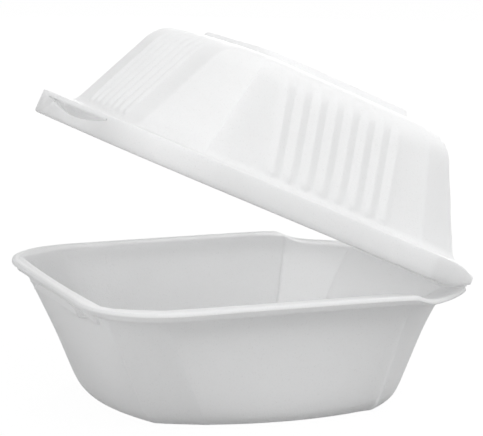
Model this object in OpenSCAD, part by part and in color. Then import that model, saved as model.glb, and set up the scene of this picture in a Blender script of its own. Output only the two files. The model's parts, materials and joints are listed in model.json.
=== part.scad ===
// Hinged foam food container: a tapered tray and a domed lid pressed from one foam sheet.
// Origin: centre of the tray's underside. +Z up, the fold along the rear (+Y), the latch at the front (-Y).

/* [Sheet] */
// Thickness of the foam sheet
sheet = 1.7; // [1.4:0.1:2.4]
// Clearance between the tray's rim and the lid's skirt
fit_gap = 0.4; // [0.3:0.05:0.8]
// Gap between the two halves along the fold
fold_gap = 0.4; // [0.3:0.05:0.6]
// Radius of the rounded outer edges
edge_round = 0.9; // [0.5:0.1:1.2]
// Radius of the rounded lower edges
hem_round = 0.4; // [0.2:0.05:0.6]

/* [Rim] */
// Width across the tray's rim
rim_width = 130; // [124:1:140]
// From the centre to the rim's front edge
rim_front = 65.6; // [64.5:0.1:70]
// Height of the rim above the table
rim_height = 42.8; // [38:0.2:50]
// Radius of the rim's front corners
rim_corner = 26.8; // [20:0.2:32]
// Height of the rim with its turned-down lip
rim_lip = 3.8; // [3.2:0.1:4.2]
// Height of the rolled edge above the lip
roll = 1.7; // [1.4:0.1:2]
// How far the lip is set back under the rolled edge
lip_set = 1.1; // [0.4:0.1:1.2]
// How far the lip leans in from top to bottom
lip_lean = 0.6; // [0:0.1:0.7]
// Height of the bead along the rim's outer edge
bead = 0.4; // [0.2:0.1:0.8]
// Width of the bead
bead_width = 2.4; // [1.8:0.1:2.8]
// Radius of the fillet under the rim
neck_round = 1.2; // [0.6:0.1:1.6]
// Radius of the rounded edge from the rim into the tray
mouth_round = 2.2; // [1.4:0.1:2.4]
// How far the rim steps down towards the fold
rear_drop = 3.1; // [2.4:0.1:3.6]
// Where the step down starts, behind the centre
drop_start = 40; // [36:0.5:42]
// Length of the step down
drop_run = 8; // [5:0.5:9]

/* [Fold] */
// From the centre back to the fold's axis
fold_back = 69.4; // [68:0.1:74]
// Length of the fold
fold_length = 86; // [76:1:92]
// Where the cut rear corners start, behind the centre
rear_corner = 42; // [38:0.5:46]

/* [Tray] */
// Width of the tray's walls under the rim
tray_width = 114; // [108:0.5:117]
// From the centre to the front wall under the rim
tray_front = 60.3; // [57:0.1:60.8]
// From the centre to the rear wall under the rim
tray_rear = 61.3; // [58:0.1:62.5]
// Width of the walls at the foot
foot_width = 95; // [86:0.5:104]
// From the centre to the front wall at the foot
foot_front = 42.5; // [38:0.1:48]
// From the centre to the rear wall at the foot
foot_rear = 43.3; // [38:0.1:48]
// Front corner facet, across the tray
front_cut_x = 10; // [5:0.5:18]
// Front corner facet, along the tray
front_cut_y = 17; // [8:0.5:22]
// Rear corner facet under the rim, both ways
rear_cut_top = 19; // [12:0.5:24]
// Rear corner facet at the foot, both ways
rear_cut_foot = 10; // [6:0.5:18]
// How far the side walls bow out under the rim
side_bow_top = 1.3; // [0:0.1:2]
// How far the side walls bow out at the foot
side_bow_foot = 4.9; // [1:0.1:7]
// How far the end walls bow out under the rim
end_bow_top = 1.3; // [0:0.1:1.6]
// How far the end walls bow out at the foot
end_bow_foot = 7.5; // [1:0.1:9]
// How far the rear corner facets stand proud of the walls
post = 0.9; // [0:0.05:1.2]
// Radius of the rounded bottom edge
foot_round = 4; // [3:0.1:8]

/* [Lid] */
// How far the lid stands open
lid_open = 24.6; // [0:0.2:60]
// How far the skirt hangs below the fold
skirt_drop = 2.8; // [1.6:0.1:4]
// Where the skirt starts to rise to the fold, behind the centre
skirt_end = 56; // [50:0.5:58]
// Length over which the skirt rises to the fold
skirt_run = 10; // [6:0.5:10]
// Height of the ledge above the fold
ledge_rise = 5.7; // [5.4:0.1:7]
// Height of the lid from the ledge to the shoulder
lid_rise = 37.8; // [30:0.2:46]
// Width of the lid's walls at the ledge
lid_width = 121; // [112:0.5:123]
// From the centre to the lid's front wall at the ledge
lid_front = 58.6; // [54:0.1:60]
// From the centre to the lid's rear wall at the ledge
lid_rear = 61.2; // [57:0.1:62]
// Width of the lid's walls at the shoulder
head_width = 96.4; // [90:0.2:104]
// From the centre to the lid's front wall at the shoulder
head_front = 39.8; // [37:0.1:46]
// From the centre to the lid's rear wall at the shoulder
head_rear = 43.6; // [41:0.1:48]
// Front corner facet at the ledge, across the lid
lid_cut_x = 27; // [16:0.5:32]
// Front corner facet at the ledge, along the lid
lid_cut_y = 14.8; // [8:0.2:20]
// Rear corner facet at the ledge, across the lid
lid_rear_cut_x = 18; // [12:0.5:30]
// Rear corner facet at the ledge, along the lid
lid_rear_cut_y = 22; // [10:0.5:24]
// Corner facets at the shoulder, as a share of those at the ledge
head_cut = 0.55; // [0.4:0.05:0.8]
// How far the ledge slopes down behind the lid, towards the fold
ledge_fall = 2; // [0:0.1:2.4]
// How far the lid's walls bow out
lid_bow = 1.2; // [0:0.1:2]
// Radius of the lid's shoulder
shoulder_round = 6.6; // [4:0.1:8]

/* [Plateau] */
// Width of the raised panel on the lid
plateau_width = 75; // [60:0.5:80]
// From the centre to the raised panel's front edge
plateau_front = 27; // [22:0.2:31]
// From the centre to the raised panel's rear edge
plateau_rear = 32; // [26:0.2:35]
// Corner radius of the raised panel
plateau_corner = 12; // [6:0.2:18]
// Height of the raised panel
plateau_rise = 2.6; // [1.5:0.1:3.5]
// Width of the raised panel's rounded edge
plateau_round = 2.4; // [1.5:0.1:4]

/* [Ribs] */
// Spacing of the ribs
rib_pitch = 6.1; // [5:0.1:6.4]
// Height of the ribs
rib_height = 1.3; // [0.6:0.05:1.5]
// Ribs on each side wall of the lid
side_ribs = 8; // [4:1:9]
// Ribs on each end wall of the lid
end_ribs = 7; // [4:1:8]
// Height above the ledge at which the ribs reach their full height
rib_start = 4.4; // [3:0.1:6]
// Length of the ribs' rounded ends
rib_end = 2.8; // [1.4:0.1:3]
// How far the side ribs lean towards the front from ledge to shoulder
rib_lean = 4; // [0:0.2:5]

/* [Latch] */
// Width of the slot in the lid's front skirt
slot_width = 66; // [40:1:70]
// Height of the slot at its middle
slot_height = 3.2; // [2:0.1:4]
// How far the lip under the slot bulges out
lip_bulge = 1.6; // [0:0.1:3]
// Width of the catch under the tray's front rim
catch_width = 40; // [24:1:44]
// How much wider the catch is at its lower edge
catch_spread = 12; // [0:0.5:14]
// How far the catch reaches out from the wall
catch_reach = 1.9; // [1.4:0.1:2.6]
// Height of the catch
catch_height = 3.6; // [3:0.1:5]
// Width of the raised band behind the catch
band_width = 76; // [60:1:80]
// How far the raised band stands out from the wall
band_reach = 0.9; // [0.5:0.1:1.4]

/* [Hidden] */
foam = [0.97, 0.97, 0.965];

// Roundness of the corner facets, and of the rear corners by the fold
facet_round = 0.12;
rear_round = 0.35;

// Points along each wall besides its ends, and points round each corner
tray_steps = 14;
rib_steps = 4;
corner_places = [0, 0.008, 0.2, 0.4, 0.6, 0.8, 0.992];

// Levels of the tray
flange_top = rim_height - bead;
flange_under = flange_top - sheet;
fold_height = rim_height - rear_drop + fold_gap / 2;

// Levels of the lid above the fold
ledge_under = ledge_rise - sheet;
shoulder = ledge_rise + lid_rise;
crown = shoulder + plateau_rise;

// A plan is [half width, front, rear, side's front end, front's half length, side's rear end,
// rear's half length, roundness of the front and rear corners, bow of the sides, the front and the rear,
// rear corners' stand].
function walls(width, front, rear, fx, fy, rx, ry, side_bow, end_bow, stand) = [
    width / 2, front, rear, front - fy, width / 2 - fx, rear - ry, width / 2 - rx,
    facet_round, facet_round, side_bow, end_bow, end_bow, stand
];
function rounded(width, front, rear, corner) = [
    width / 2, front, rear, front - corner, width / 2 - corner, rear - corner, width / 2 - corner,
    1, 1, 0, 0, 0, 0
];
function mix(a, b, t) = a + (b - a) * t;
function inset(plan, d) =
    let (f = d * tan(22.5) * (1 - plan[7]), r = d * tan(22.5) * (1 - plan[8]))
    plan - [d, d, d, f, f, r, r, 0, 0, 0, 0, 0, 0];
function front_bowed(plan, bow) = [for (i = [0:12]) i == 10 ? bow : plan[i]];

// The rim's plan has round front corners and cut rear corners that run to the fold's ends.
// out moves it outwards on every side but the rear.
function edge_plan(out) =
    let (rear = fold_back - fold_gap / 2, dx = (rim_width - fold_length) / 2, dy = rear - rear_corner)
    let (cut = norm([dx, dy]))
    [
        rim_width / 2 + out, rim_front + out, rear, rim_front - rim_corner, rim_width / 2 - rim_corner,
        rear_corner + out * (cut - dy) / dx, fold_length / 2 + out * cut / dy, 1, rear_round, 0, 0, 0, 0
    ];
rim_plan = edge_plan(0);
skirt_plan = edge_plan(fit_gap + sheet);
tray_plan = walls(tray_width, tray_front, tray_rear, front_cut_x, front_cut_y, rear_cut_top, rear_cut_top,
                  side_bow_top, end_bow_top, post);
foot_plan = walls(foot_width, foot_front, foot_rear, front_cut_x, front_cut_y, rear_cut_foot, rear_cut_foot,
                  side_bow_foot, end_bow_foot, post);
lid_plan = walls(lid_width, lid_front, lid_rear, lid_cut_x, lid_cut_y, lid_rear_cut_x, lid_rear_cut_y,
                 lid_bow, lid_bow, 0);
head_plan = walls(head_width, head_front, head_rear, lid_cut_x * head_cut, lid_cut_y * head_cut,
                  lid_rear_cut_x * head_cut, lid_rear_cut_y * head_cut, lid_bow, lid_bow, 0);
plateau_plan = rounded(plateau_width, plateau_front, plateau_rear, plateau_corner);

// A corner runs from a straight facet (round 0) to a quarter ellipse (round 1).
// stand moves it straight out, but for its two ends.
function turn(f, round) = (1 - round) * f + round * sin(90 * f);
function corner(hx, hy, ex, cy, round, stand, f) =
    let (out = f > 0 && f < 1 ? stand : 0, chord = [hy - cy, hx - ex])
    [ex + (hx - ex) * turn(f, round), cy + (hy - cy) * turn(1 - f, round)] + out * chord / norm(chord);

// Places along a wall: its start, then an even run about its middle.
function places(lo, hi, middle, reach, steps) =
    let (half = (hi - lo) / 2, r = min(reach, 0.84 * half), slack = half - r)
    let (m = (lo + hi) / 2, c = m + max(-0.9 * slack, min(0.9 * slack, middle - m)))
    concat([lo], [for (i = [0:steps]) c - r + 2 * r * i / steps]);
function ridge(i, steps, height) = i < 1 ? 0 : height * (1 - cos(360 * (i - 1) / rib_steps)) / 2;
function bulge(s, lo, hi, bow) = bow * (1 - pow((2 * s - lo - hi) / (hi - lo), 2));

// One closed outline: front wall, near corner, side wall, rear corner and so on, counterclockwise.
// run is [reach and steps along the sides, reach and steps along the ends, middle of the side's run].
function outline(p, run, rib) =
    let (side = places(-p[3], p[5], run[4], run[0], run[1]))
    let (front = places(-p[4], p[4], 0, run[2], run[3]), rear = places(-p[6], p[6], 0, run[2], run[3]))
    let (last = len(side) - 1, end_last = len(front) - 1)
    let (near = [for (i = [0:last])
        [p[0] + bulge(side[i], -p[3], p[5], p[9]) + ridge(i, run[1], rib[0]), side[i]]])
    let (fore = [for (i = [0:end_last])
        [front[i], p[1] + bulge(front[i], -p[4], p[4], p[10]) + ridge(i, run[3], rib[1])]])
    let (back = [for (i = [0:end_last])
        [rear[i], p[2] + bulge(rear[i], -p[6], p[6], p[11]) + ridge(i, run[3], rib[1])]])
    let (far_end = [-p[0], p[5]])
    concat(
        [for (q = fore) [q[0], -q[1]]],
        [for (f = corner_places) let (c = corner(p[0], p[1], p[4], p[3], p[7], 0, f)) [c[0], -c[1]]],
        near,
        [for (f = corner_places) corner(p[0], p[2], p[6], p[5], p[8], p[12], 1 - f)],
        [for (q = back) [-q[0], q[1]]],
        [for (f = corner_places) let (c = corner(p[0], p[2], p[6], p[5], p[8], p[12], f)) [-c[0], c[1]]],
        [far_end], [for (i = [last:-1:1]) [-near[i][0], near[i][1]]],
        [for (f = corner_places) -corner(p[0], p[1], p[4], p[3], p[7], 0, 1 - f)]
    );

// A ring lifts an outline to its level; levels is [height, height at the rear by the fold],
// and step is [where one gives way to the other, over what length].
function ease(t) = let (u = max(0, min(1, t))) u * u * (3 - 2 * u);
function ring(points, levels, step) =
    [for (q = points) [q[0], q[1], mix(levels[0], levels[1], ease((q[1] - step[0]) / step[1]))]];

// A skin runs through the rings from a point at one end to a point at the other.
module skin(rings, start, finish) {
    n = len(rings[0]);
    m = len(rings);
    points = concat([start], [for (r = rings, q = r) q], [finish]);
    first = [for (i = [0:n - 1]) [0, 1 + i, 1 + (i + 1) % n]];
    last = [for (i = [0:n - 1]) [1 + (m - 1) * n + i, 1 + m * n, 1 + (m - 1) * n + (i + 1) % n]];
    bands = [for (j = [0:m - 2], i = [0:n - 1], half = [0, 1])
        let (a = 1 + j * n + i, d = 1 + j * n + (i + 1) % n)
        half == 0 ? [a, a + n, d + n] : [a, d + n, d]];
    polyhedron(points = points, faces = concat(first, bands, last), convexity = 6);
}

// Tray

tray_run = [rim_width, tray_steps, rim_width, tray_steps, 0];
function tray_wall(t) = mix(foot_plan, tray_plan, t);
function tray_ring(plan, z, rear_z) =
    ring(outline(plan, tray_run, [0, 0]), [z, rear_z], [drop_start, drop_run]);
function tray_level(plan, z) = tray_ring(plan, z, z);
function rim_ring(plan, z) = tray_ring(plan, z, z - rear_drop);

// Share of the wall's height at which the walls start to follow the rim's step
throat = 0.92;

module tray_shell() {
    foot = [for (a = [0, 30, 60])
        tray_level(inset(tray_wall(0), foot_round * (1 - sin(a))), foot_round * (1 - cos(a)))];
    outside = [for (t = [0.1, 0.35, 0.65]) tray_level(tray_wall(t), t * flange_under)];
    neck = [
        rim_ring(tray_wall(throat), throat * flange_under),
        rim_ring(inset(tray_plan, -0.3 * neck_round), flange_under - neck_round),
        rim_ring(inset(tray_plan, -neck_round), flange_under - 0.2 * neck_round),
    ];
    hem = rim_height - rim_lip;
    rear_hem = flange_under - rear_drop - hem_round;
    low = inset(rim_plan, lip_set + lip_lean);
    under_roll = rim_height - roll;
    lip = [
        rim_ring(inset(rim_plan, lip_set + sheet), flange_under),
        tray_ring(inset(low, 0.9 * sheet), hem + hem_round, rear_hem + 0.75 * hem_round),
        tray_ring(inset(low, 0.5 * sheet), hem, rear_hem),
        tray_ring(inset(low, 0.05 * sheet), hem + hem_round, rear_hem + hem_round),
        rim_ring(inset(rim_plan, lip_set), under_roll),
        rim_ring(inset(rim_plan, 0.25 * edge_round), under_roll),
        rim_ring(rim_plan, under_roll + 0.3 * edge_round),
        rim_ring(rim_plan, rim_height - edge_round),
        rim_ring(inset(rim_plan, 0.3 * edge_round), rim_height - 0.3 * edge_round),
        rim_ring(inset(rim_plan, edge_round), rim_height),
        rim_ring(inset(rim_plan, mix(edge_round, bead_width, 0.5)), rim_height - 0.25 * bead),
        rim_ring(inset(rim_plan, bead_width), flange_top),
    ];
    mouth = [
        rim_ring(inset(tray_plan, sheet - mouth_round), flange_top),
        rim_ring(inset(tray_plan, sheet - 0.45 * mouth_round), flange_top - 0.14 * mouth_round),
        rim_ring(inset(tray_plan, sheet - 0.1 * mouth_round), flange_top - 0.55 * mouth_round),
        rim_ring(inset(tray_wall(throat), sheet), flange_top - (1 - throat) * flange_under),
    ];
    inside = [for (t = [0.65, 0.35, 0.14]) tray_level(inset(tray_wall(t), sheet), t * flange_under)];
    floor = [for (a = [60, 30, 0])
        tray_level(inset(tray_wall(0), sheet + foot_round * (1 - sin(a))),
                   sheet + foot_round * (1 - cos(a)))];
    skin(concat(foot, outside, neck, lip, mouth, inside, floor), [0, 0, 0], [0, 0, sheet]);
}

// A raised band under the front rim, with a catch on it that is undercut at its lower edge.
module front_catch() {
    top = rim_height - rim_lip - fit_gap;
    foot = top - catch_height;
    nose = tray_front + catch_reach;
    slope = (tray_front - foot_front + end_bow_top - end_bow_foot) / flange_under;
    wall = tray_front - slope * (flange_under - foot);
    root = 0.4 * sheet;
    rotate([90, 0, 90]) {
        linear_extrude(band_width, center = true)
            polygon([
                [root - tray_front, flange_under], [-tray_front - band_reach, flange_under],
                [-wall - band_reach, foot], [root - wall, foot],
            ]);
        hull() {
            linear_extrude(catch_width, center = true)
                polygon([
                    [root - tray_front, top], [hem_round - nose, top],
                    [-nose, top - hem_round], [root - wall, top - hem_round],
                ]);
            linear_extrude(catch_width + catch_spread, center = true)
                polygon([
                    [-nose, foot + hem_round], [hem_round - nose, foot],
                    [root - wall, foot], [root - wall, foot + hem_round],
                ]);
        }
    }
}

module base() {
    color(foam) {
        tray_shell();
        front_catch();
    }
}

// Lid, closed, with its fold on the plane z = 0

side_reach = side_ribs * rib_pitch / 2;
end_reach = end_ribs * rib_pitch / 2;
rib_foot = ledge_rise + rib_start;
rib_head = shoulder - shoulder_round - 0.5 * rib_end;
flat = [0, 0];
function lid_wall(z) = mix(lid_plan, head_plan, (z - ledge_rise) / lid_rise);
function lid_run(z) =
    let (t = max(0, min(1, (z - ledge_rise) / lid_rise)))
    [side_reach, side_ribs * rib_steps, end_reach, end_ribs * rib_steps, rib_lean * (0.5 - t)];
function lid_ring(plan, z, rib, rear_z) =
    ring(outline(plan, lid_run(z), rib_height * rib), [z, is_undef(rear_z) ? z : rear_z],
         [skirt_end, skirt_run]);
function wall_ring(z, rib, d) = lid_ring(inset(lid_wall(z), d), z, [rib, rib]);
function shoulder_ring(a, rib, d) =
    let (r = shoulder_round - 0.7 * d, z = shoulder - d - r * (1 - sin(a)))
    lid_ring(inset(lid_wall(z), d + r * (1 - cos(a))), z, rib);

module lid_shell() {
    ceiling = [
        lid_ring(inset(plateau_plan, plateau_round + sheet), crown - sheet, flat),
        lid_ring(inset(plateau_plan, 0.25 * plateau_round + sheet), shoulder - 0.8 * sheet, flat),
    ];
    inside = concat(
        [for (a = [90, 45, 0]) shoulder_ring(a, flat, sheet)],
        [wall_ring(rib_head, 1, sheet), wall_ring(rib_foot, 1, sheet)],
        [wall_ring(rib_foot - rib_end, 0, sheet)]
    );
    under_ledge = [
        lid_ring(inset(lid_plan, sheet - edge_round), ledge_under + 0.2 * edge_round, flat),
        lid_ring(inset(skirt_plan, sheet + edge_round), ledge_under, flat, ledge_under - 0.8 * ledge_fall),
        lid_ring(inset(skirt_plan, sheet), ledge_under - edge_round, flat,
                 ledge_under - 0.6 * edge_round - ledge_fall),
    ];
    low = front_bowed(skirt_plan, lip_bulge);
    hem = [
        lid_ring(inset(low, sheet), hem_round - skirt_drop, flat, hem_round + fold_gap / 2),
        lid_ring(inset(low, 0.5 * sheet), -skirt_drop, flat, fold_gap / 2),
        lid_ring(low, hem_round - skirt_drop, flat, hem_round + fold_gap / 2),
    ];
    ledge = [
        lid_ring(skirt_plan, ledge_rise - edge_round, flat, ledge_rise - edge_round - ledge_fall),
        lid_ring(inset(skirt_plan, 0.3 * edge_round), ledge_rise - 0.3 * edge_round, flat,
                 ledge_rise - 0.3 * edge_round - ledge_fall),
        lid_ring(inset(skirt_plan, edge_round), ledge_rise, flat, ledge_rise - 0.9 * ledge_fall),
        lid_ring(inset(lid_plan, -neck_round), ledge_rise + 0.1 * neck_round, flat),
        lid_ring(inset(lid_plan, -0.3 * neck_round), ledge_rise + 0.5 * neck_round, flat),
    ];
    outside = concat(
        [wall_ring(ledge_rise + 1.5 * neck_round, 0, 0)],
        [wall_ring(rib_foot - 0.5 * rib_end, 0.6, 0), wall_ring(rib_foot, 1, 0)],
        [wall_ring(mix(rib_foot, rib_head, 0.45), 1, 0), wall_ring(rib_head, 1, 0)],
        [shoulder_ring(0, [0.85, 1], 0), shoulder_ring(30, [0.2, 1], 0), shoulder_ring(60, [0, 0.7], 0)],
        [shoulder_ring(90, flat, 0)]
    );
    panel = [
        lid_ring(plateau_plan, mix(shoulder, crown, 0.04), flat),
        lid_ring(inset(plateau_plan, 0.25 * plateau_round), mix(shoulder, crown, 0.5), flat),
        lid_ring(inset(plateau_plan, 0.55 * plateau_round), mix(shoulder, crown, 0.9), flat),
        lid_ring(inset(plateau_plan, plateau_round), crown, flat),
    ];
    inner = concat(ceiling, inside, under_ledge);
    outer = concat(hem, ledge, outside, panel);
    skin(concat(inner, outer), [0, 0, crown - sheet], [0, 0, crown]);
}

// The slot is a lens through the front skirt, just under the ledge.
module front_slot() {
    depth = 2 * (fit_gap + sheet) + lip_bulge;
    half = slot_width / 2;
    translate([0, -rim_front + fit_gap / 2, 0])
        rotate([90, 0, 0])
            linear_extrude(depth)
                polygon([for (i = [-10:10])
                    [half * i / 10, ledge_under - slot_height * (1 - pow(i / 10, 2))]]);
}

module lid() {
    color(foam)
        translate([0, fold_back, fold_height])
            rotate([-lid_open, 0, 0])
                translate([0, -fold_back, 0])
                    difference() {
                        lid_shell();
                        front_slot();
                    }
}

base();
lid();
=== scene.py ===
"""Dresses a hinged foam food container: softened shells, a creased fold and a foamed-sheet finish."""

import json
import logging
import math
from dataclasses import dataclass
from enum import Enum

import bpy
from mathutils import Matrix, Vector


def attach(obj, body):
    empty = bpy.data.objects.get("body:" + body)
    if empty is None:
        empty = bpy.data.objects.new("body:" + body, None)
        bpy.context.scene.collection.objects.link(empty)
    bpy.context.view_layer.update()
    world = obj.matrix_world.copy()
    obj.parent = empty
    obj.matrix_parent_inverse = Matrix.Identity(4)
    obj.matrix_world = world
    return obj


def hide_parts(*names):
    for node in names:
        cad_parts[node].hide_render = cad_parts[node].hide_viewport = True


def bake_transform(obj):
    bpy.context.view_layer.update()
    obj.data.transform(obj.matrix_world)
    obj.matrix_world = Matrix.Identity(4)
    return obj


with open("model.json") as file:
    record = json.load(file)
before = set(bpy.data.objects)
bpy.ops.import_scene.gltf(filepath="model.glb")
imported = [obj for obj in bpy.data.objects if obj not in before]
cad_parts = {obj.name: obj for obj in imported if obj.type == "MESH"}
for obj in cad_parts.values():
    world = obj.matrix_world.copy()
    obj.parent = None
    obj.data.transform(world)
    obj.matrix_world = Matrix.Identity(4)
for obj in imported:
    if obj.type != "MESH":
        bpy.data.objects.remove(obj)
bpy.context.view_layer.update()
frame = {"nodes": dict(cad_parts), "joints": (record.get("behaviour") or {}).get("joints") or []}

LOG = logging.getLogger("container")
MM = 0.001
IMAGE_WIDTH_PX = 483


class Body(Enum):
    """The two rigid bodies that the fold joins."""

    TRAY = "base"
    LID = "lid"


class Ray(Enum):
    """Light Path outputs for which the backdrop shows as plain white."""

    CAMERA = "Is Camera Ray"
    GLOSSY = "Is Glossy Ray"


def only_select(piece: bpy.types.Object) -> None:
    """Deselects everything, then selects one object and makes it active.

    Args:
        piece: The object that the next operators act on.
    """
    bpy.ops.object.select_all(action="DESELECT")
    piece.select_set(True)
    bpy.context.view_layer.objects.active = piece


def add_node(tree: bpy.types.NodeTree, kind: str, **values: object) -> bpy.types.Node:
    """Adds a node to a tree and sets its properties.

    Args:
        tree: The material's, world's or group's node tree.
        kind: The node's type name.
        values: Properties of the node, by name.

    Returns:
        The new node.
    """
    node = tree.nodes.new(kind)
    for name, value in values.items():
        setattr(node, name, value)
    return node


class FoamCells:
    """A node group for the skin of foamed sheet: fine cells, scattered specks and a slow mottle."""

    NAME = "foam_cells"
    INPUTS = (
        ("Cells", "NodeSocketFloat", 1400.0),
        ("Specks", "NodeSocketFloat", 0.05),
        ("Mottle", "NodeSocketFloat", 0.03),
        ("Roughness", "NodeSocketFloat", 0.6),
        ("Light", "NodeSocketColor", (0.9, 0.9, 0.9, 1.0)),
        ("Dark", "NodeSocketColor", (0.7, 0.7, 0.7, 1.0)),
    )
    OUTPUTS = (
        ("Shade", "NodeSocketColor"),
        ("Roughness", "NodeSocketFloat"),
        ("Height", "NodeSocketFloat"),
    )
    CELL_SMOOTHNESS = 0.35
    GRAIN_PER_CELL = 0.95
    GRAIN_DETAIL = 3.0
    MOTTLE_PER_M = 55.0
    MOTTLE_DETAIL = 4.0
    SPECK_FROM, SPECK_FULL = 0.56, 0.74
    GRAIN_IN_ROUGHNESS = 0.18
    GRAIN_IN_HEIGHT = 0.5

    @classmethod
    def group(cls) -> bpy.types.NodeTree:
        """Builds the group once and gives it back after that.

        Returns:
            The node group, with the outputs Shade, Roughness and Height.
        """
        found = bpy.data.node_groups.get(cls.NAME)
        if found:
            return found
        tree = bpy.data.node_groups.new(cls.NAME, "ShaderNodeTree")
        for name, kind, start in cls.INPUTS:
            socket = tree.interface.new_socket(name, in_out="INPUT", socket_type=kind)
            socket.default_value = start
        for name, kind in cls.OUTPUTS:
            tree.interface.new_socket(name, in_out="OUTPUT", socket_type=kind)
        cls._fill(tree)
        return tree

    @classmethod
    def _fill(cls, tree: bpy.types.NodeTree) -> None:
        """Adds the group's nodes and links.

        Args:
            tree: The empty group, with its sockets made.
        """
        link = tree.links.new
        given = add_node(tree, "NodeGroupInput")
        result = add_node(tree, "NodeGroupOutput")
        place = add_node(tree, "ShaderNodeTexCoord")
        cells = add_node(tree, "ShaderNodeTexVoronoi", feature="SMOOTH_F1")
        grain = add_node(tree, "ShaderNodeTexNoise")
        mottle = add_node(tree, "ShaderNodeTexNoise")
        cells.inputs["Smoothness"].default_value = cls.CELL_SMOOTHNESS
        grain.inputs["Detail"].default_value = cls.GRAIN_DETAIL
        mottle.inputs["Scale"].default_value = cls.MOTTLE_PER_M
        mottle.inputs["Detail"].default_value = cls.MOTTLE_DETAIL
        for texture in (cells, grain, mottle):
            link(place.outputs["Object"], texture.inputs["Vector"])
        link(given.outputs["Cells"], cells.inputs["Scale"])
        fine = add_node(tree, "ShaderNodeMath", operation="MULTIPLY")
        fine.inputs[1].default_value = cls.GRAIN_PER_CELL
        link(given.outputs["Cells"], fine.inputs[0])
        link(fine.outputs[0], grain.inputs["Scale"])

        specks = add_node(tree, "ShaderNodeMapRange", interpolation_type="SMOOTHSTEP")
        specks.inputs["From Min"].default_value = cls.SPECK_FROM
        specks.inputs["From Max"].default_value = cls.SPECK_FULL
        link(grain.outputs["Fac"], specks.inputs["Value"])
        speck_share = add_node(tree, "ShaderNodeMath", operation="MULTIPLY")
        link(specks.outputs["Result"], speck_share.inputs[0])
        link(given.outputs["Specks"], speck_share.inputs[1])
        mottle_share = add_node(tree, "ShaderNodeMath", operation="MULTIPLY")
        link(mottle.outputs["Fac"], mottle_share.inputs[0])
        link(given.outputs["Mottle"], mottle_share.inputs[1])
        share = add_node(tree, "ShaderNodeMath", operation="ADD", use_clamp=True)
        link(speck_share.outputs[0], share.inputs[0])
        link(mottle_share.outputs[0], share.inputs[1])
        shade = add_node(tree, "ShaderNodeMix", data_type="RGBA")
        link(share.outputs[0], shade.inputs["Factor"])
        link(given.outputs["Light"], shade.inputs[6])
        link(given.outputs["Dark"], shade.inputs[7])
        link(shade.outputs[2], result.inputs["Shade"])

        sheen = add_node(tree, "ShaderNodeMath", operation="MULTIPLY_ADD", use_clamp=True)
        sheen.inputs[1].default_value = cls.GRAIN_IN_ROUGHNESS
        link(grain.outputs["Fac"], sheen.inputs[0])
        link(given.outputs["Roughness"], sheen.inputs[2])
        link(sheen.outputs[0], result.inputs["Roughness"])
        height = add_node(tree, "ShaderNodeMath", operation="MULTIPLY_ADD")
        height.inputs[1].default_value = cls.GRAIN_IN_HEIGHT
        link(grain.outputs["Fac"], height.inputs[0])
        link(cells.outputs["Distance"], height.inputs[2])
        link(height.outputs[0], result.inputs["Height"])


@dataclass(frozen=True)
class FoamFinish:
    """A matt white finish of foamed sheet, thin enough for some light to pass through it."""

    name: str
    light: tuple[float, float, float, float] = (0.965, 0.966, 0.967, 1.0)
    dark: tuple[float, float, float, float] = (0.7, 0.703, 0.706, 1.0)
    cells_per_m: float = 1900.0
    specks: float = 0.2
    mottle: float = 0.06
    roughness: float = 0.5
    bump: float = 0.24
    bump_depth_m: float = 0.2 * MM
    specular: float = 0.35
    through: float = 0.5

    def material(self) -> bpy.types.Material:
        """Builds the finish as a node material.

        Returns:
            The material.
        """
        made = bpy.data.materials.new(self.name)
        made.use_nodes = True
        tree = made.node_tree
        shader = tree.nodes["Principled BSDF"]
        skin = add_node(tree, "ShaderNodeGroup", node_tree=FoamCells.group())
        skin.inputs["Cells"].default_value = self.cells_per_m
        skin.inputs["Specks"].default_value = self.specks
        skin.inputs["Mottle"].default_value = self.mottle
        skin.inputs["Roughness"].default_value = self.roughness
        skin.inputs["Light"].default_value = self.light
        skin.inputs["Dark"].default_value = self.dark
        bump = add_node(tree, "ShaderNodeBump")
        bump.inputs["Strength"].default_value = self.bump
        bump.inputs["Distance"].default_value = self.bump_depth_m
        tree.links.new(skin.outputs["Shade"], shader.inputs["Base Color"])
        tree.links.new(skin.outputs["Roughness"], shader.inputs["Roughness"])
        tree.links.new(skin.outputs["Height"], bump.inputs["Height"])
        tree.links.new(bump.outputs["Normal"], shader.inputs["Normal"])
        shader.inputs["Specular IOR Level"].default_value = self.specular
        glow = add_node(tree, "ShaderNodeBsdfTranslucent")
        both = add_node(tree, "ShaderNodeMixShader")
        both.inputs["Fac"].default_value = self.through
        tree.links.new(skin.outputs["Shade"], glow.inputs["Color"])
        tree.links.new(bump.outputs["Normal"], glow.inputs["Normal"])
        tree.links.new(shader.outputs["BSDF"], both.inputs[1])
        tree.links.new(glow.outputs["BSDF"], both.inputs[2])
        tree.links.new(both.outputs["Shader"], tree.nodes["Material Output"].inputs["Surface"])
        return made


FOAM = FoamFinish("white_foam")
CRUSHED_FOAM = FoamFinish("crushed_foam", specks=0.08, bump=0.08, roughness=0.42)


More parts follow.
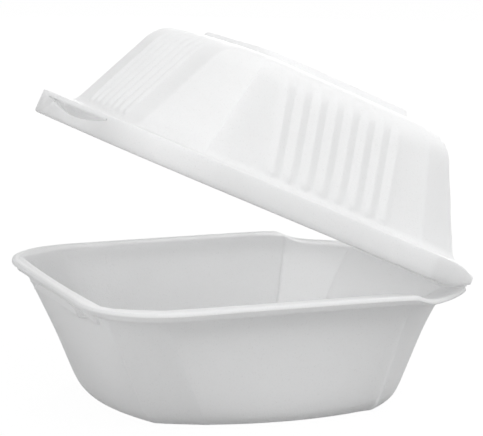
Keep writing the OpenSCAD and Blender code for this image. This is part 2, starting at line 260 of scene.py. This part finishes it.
@dataclass
class Shell:
    """One half of the container: its solid, softened into a smooth pressed sheet."""

    name: str
    body: Body
    node: str
    levels: int = 2
    weld_m: float = 0.01 * MM
    quad_angle: float = math.radians(50.0)
    soft_edge: tuple[float, float] = (math.radians(40.0), 0.55)
    firm_edge: tuple[float, float] = (math.radians(70.0), 0.9)
    smooth_angle: float = math.radians(60.0)

    def build(self) -> bpy.types.Object:
        """Copies the solid's mesh, merges it into quads and subdivides it.

        Returns:
            The finished piece, at the origin.
        """
        mesh = frame["nodes"][self.node].data.copy()
        mesh.name = self.name
        mesh.materials.clear()
        piece = bpy.data.objects.new(self.name, mesh)
        bpy.context.scene.collection.objects.link(piece)
        only_select(piece)
        bpy.ops.mesh.customdata_custom_splitnormals_clear()
        bpy.ops.object.mode_set(mode="EDIT")
        bpy.ops.mesh.select_all(action="SELECT")
        bpy.ops.mesh.remove_doubles(threshold=self.weld_m)
        bpy.ops.mesh.tris_convert_to_quads(
            face_threshold=self.quad_angle, shape_threshold=self.quad_angle
        )
        bpy.ops.mesh.mark_sharp(clear=True)
        bpy.ops.object.mode_set(mode="OBJECT")
        mesh.attributes.new("crease_edge", "FLOAT", "EDGE")
        for angle, crease in (self.soft_edge, self.firm_edge):
            self._crease_edges(mesh, angle, crease)
        self._soften(piece)
        return piece

    @staticmethod
    def _crease_edges(mesh: bpy.types.Mesh, angle: float, crease: float) -> None:
        """Holds the edges that turn more sharply than an angle firm under subdivision.

        Args:
            mesh: The active object's mesh.
            angle: The least angle between two faces, in radians.
            crease: How firmly the edges are held, from 0 to 1.
        """
        bpy.ops.object.mode_set(mode="EDIT")
        bpy.ops.mesh.select_mode(type="EDGE")
        bpy.ops.mesh.select_all(action="DESELECT")
        bpy.ops.mesh.edges_select_sharp(sharpness=angle)
        bpy.ops.object.mode_set(mode="OBJECT")
        held = mesh.attributes["crease_edge"].data
        for edge in mesh.edges:
            if edge.select:
                held[edge.index].value = crease

    def _soften(self, piece: bpy.types.Object) -> None:
        """Subdivides the piece and shades it smooth.

        Args:
            piece: The merged copy of the solid.
        """
        soft = piece.modifiers.new("soften", "SUBSURF")
        soft.levels = self.levels
        soft.render_levels = self.levels
        bpy.ops.object.modifier_apply(modifier=soft.name)
        bpy.ops.object.shade_smooth_by_angle(angle=self.smooth_angle)

    def dress(self, piece: bpy.types.Object, finish: bpy.types.Material) -> None:
        """Gives the piece its finish, and lets it stand for the solid.

        Args:
            piece: The finished mesh.
            finish: The foam material.
        """
        piece.data.materials.append(finish)
        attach(piece, self.body.value)
        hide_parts(self.node)


@dataclass
class FoldWeb:
    """The crushed strip of sheet along the fold, a fixed roll laid along the fold's axis."""

    name: str = "fold_web"
    half_length_m: float = 41.5 * MM
    radius_m: float = 0.95 * MM
    sides: int = 20
    soft_end_m: float = 0.6 * MM
    end_steps: int = 3
    end_angle: float = math.radians(60.0)

    @staticmethod
    def axis_point() -> Vector:
        """Gives the point that the lid's joint turns about."""
        return Vector(frame["joints"][0]["pos_m"])

    def build(self) -> bpy.types.Object:
        """Makes a slim round-ended roll along the fold's axis.

        Returns:
            The roll, at the origin with its place in its mesh.
        """
        bpy.ops.object.select_all(action="DESELECT")
        bpy.ops.mesh.primitive_cylinder_add(
            vertices=self.sides,
            radius=self.radius_m,
            depth=2 * self.half_length_m,
            location=self.axis_point(),
            rotation=(0.0, math.pi / 2, 0.0),
        )
        piece = bpy.context.object
        piece.name = self.name
        piece.data.name = self.name
        only_select(piece)
        bpy.ops.object.transform_apply(location=True, rotation=True, scale=True)
        ends = piece.modifiers.new("round_ends", "BEVEL")
        ends.width = self.soft_end_m
        ends.segments = self.end_steps
        ends.limit_method = "ANGLE"
        ends.angle_limit = self.end_angle
        bpy.ops.object.modifier_apply(modifier=ends.name)
        bpy.ops.object.shade_smooth_by_angle(angle=self.end_angle)
        return piece

    def dress(self, piece: bpy.types.Object, finish: bpy.types.Material) -> None:
        """Gives the roll its finish and bakes its placement into its mesh.

        Args:
            piece: The roll.
            finish: The foam material.
        """
        piece.data.materials.append(finish)
        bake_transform(piece)


@dataclass(frozen=True)
class Lamp:
    """A square soft lamp that faces the container."""

    name: str
    watts: float
    side_m: float
    place_m: tuple[float, float, float]
    aim_m: tuple[float, float, float] = (0.0, 0.0, 60.0 * MM)

    def hang(self) -> None:
        """Hangs the lamp in its place."""
        data = bpy.data.lights.new(self.name, "AREA")
        data.energy = self.watts
        data.size = self.side_m
        lamp = bpy.data.objects.new(self.name, data)
        lamp.location = self.place_m
        away = Vector(self.place_m) - Vector(self.aim_m)
        lamp.rotation_euler = away.to_track_quat("Z", "Y").to_euler()
        bpy.context.scene.collection.objects.link(lamp)


@dataclass
class Studio:
    """The white sweep, the soft lamps and the camera."""

    azimuth_deg: float = 69.33
    elevation_deg: float = 9.89
    distance_m: float = 947.5 * MM
    focal_px: float = 2774.9
    target_m: tuple[float, float, float] = (0.0, 4.4 * MM, 59.9 * MM)
    sensor_mm: float = 36.0
    ambient: float = 0.65
    floor_half_m: float = 3.0
    floor_drop_m: float = 0.05 * MM
    floor_white: float = 0.9
    floor_glow: float = 1.08
    floor_bounce: float = 0.25
    floor_roughness: float = 0.9
    lamps: tuple[Lamp, ...] = (
        Lamp("key", 10.4, 0.8, (0.8, 0.25, 1.2)),
        Lamp("fill", 2.5, 1.0, (1.3, -0.4, 0.55)),
        Lamp("front", 3.4, 0.8, (0.35, -1.3, 0.55)),
        Lamp("side", 7.2, 0.5, (-1.05, 0.6, 0.28)),
        Lamp("rear", 3.4, 0.5, (-0.3, 1.2, 0.3)),
    )

    def build(self) -> None:
        """Makes the backdrop, the lamps and the camera."""
        self._world()
        self._floor()
        for lamp in self.lamps:
            lamp.hang()
        self._camera()

    @staticmethod
    def _seen_plainly(tree: bpy.types.NodeTree) -> bpy.types.NodeSocket:
        """Adds nodes that tell camera and mirror rays from the rest.

        Args:
            tree: The world's or the floor's node tree.

        Returns:
            A socket that is 1 for those rays.
        """
        path = add_node(tree, "ShaderNodeLightPath")
        either = add_node(tree, "ShaderNodeMath", operation="MAXIMUM")
        for place, ray in enumerate(Ray):
            tree.links.new(path.outputs[ray.value], either.inputs[place])
        return either.outputs[0]

    def _world(self) -> None:
        """Lights all round evenly, and shows plain white to the camera."""
        world = bpy.data.worlds.new("studio")
        world.use_nodes = True
        bpy.context.scene.world = world
        tree = world.node_tree
        background = tree.nodes["Background"]
        background.inputs["Color"].default_value = (1.0, 1.0, 1.0, 1.0)
        level = add_node(tree, "ShaderNodeMix", data_type="FLOAT")
        tree.links.new(self._seen_plainly(tree), level.inputs["Factor"])
        level.inputs[2].default_value = self.ambient
        level.inputs[3].default_value = 1.0
        tree.links.new(level.outputs[0], background.inputs["Strength"])

    def _floor(self) -> None:
        """Lays a white floor that keeps the container's shadow."""
        bpy.ops.object.select_all(action="DESELECT")
        bpy.ops.mesh.primitive_plane_add(
            size=2 * self.floor_half_m, location=(0.0, 0.0, -self.floor_drop_m)
        )
        floor = bpy.context.object
        floor.name = "floor"
        only_select(floor)
        bpy.ops.object.transform_apply(location=True, rotation=True, scale=True)
        paint = bpy.data.materials.new("floor_white")
        paint.use_nodes = True
        tree = paint.node_tree
        shader = tree.nodes["Principled BSDF"]
        shader.inputs["Base Color"].default_value = (*(self.floor_bounce,) * 3, 1.0)
        shader.inputs["Roughness"].default_value = self.floor_roughness
        glow = add_node(tree, "ShaderNodeEmission")
        glow.inputs["Strength"].default_value = self.floor_glow
        share = add_node(tree, "ShaderNodeMath", operation="MULTIPLY")
        share.inputs[1].default_value = self.floor_white
        mix = add_node(tree, "ShaderNodeMixShader")
        tree.links.new(self._seen_plainly(tree), share.inputs[0])
        tree.links.new(share.outputs[0], mix.inputs["Fac"])
        tree.links.new(shader.outputs["BSDF"], mix.inputs[1])
        tree.links.new(glow.outputs["Emission"], mix.inputs[2])
        tree.links.new(mix.outputs["Shader"], tree.nodes["Material Output"].inputs["Surface"])
        floor.data.materials.append(paint)

    def _camera(self) -> None:
        """Stands the camera where the photograph was taken from."""
        turn, rise = math.radians(self.azimuth_deg), math.radians(self.elevation_deg)
        back = Vector(
            (math.sin(turn) * math.cos(rise), -math.cos(turn) * math.cos(rise), math.sin(rise))
        )
        data = bpy.data.cameras.new("camera")
        data.sensor_fit = "HORIZONTAL"
        data.sensor_width = self.sensor_mm
        data.lens = self.sensor_mm * self.focal_px / IMAGE_WIDTH_PX
        camera = bpy.data.objects.new("camera", data)
        camera.location = Vector(self.target_m) + back * self.distance_m
        camera.rotation_euler = back.to_track_quat("Z", "Y").to_euler()
        bpy.context.scene.collection.objects.link(camera)
        bpy.context.scene.camera = camera


def main() -> None:
    """Builds the container piece by piece, then the studio round it."""
    logging.basicConfig(level=logging.INFO, format="%(name)s: %(message)s")
    bpy.context.scene.view_settings.view_transform = "Standard"
    foam, crushed = FOAM.material(), CRUSHED_FOAM.material()
    for shell in (Shell("tray_shell", Body.TRAY, "base"), Shell("lid_shell", Body.LID, "lid")):
        piece = shell.build()
        shell.dress(piece, foam)
        LOG.info("%s: %d faces", piece.name, len(piece.data.polygons))
    web = FoldWeb()
    roll = web.build()
    web.dress(roll, crushed)
    LOG.info("%s: %d faces", roll.name, len(roll.data.polygons))
    Studio().build()


if __name__ == "__main__":
    main()
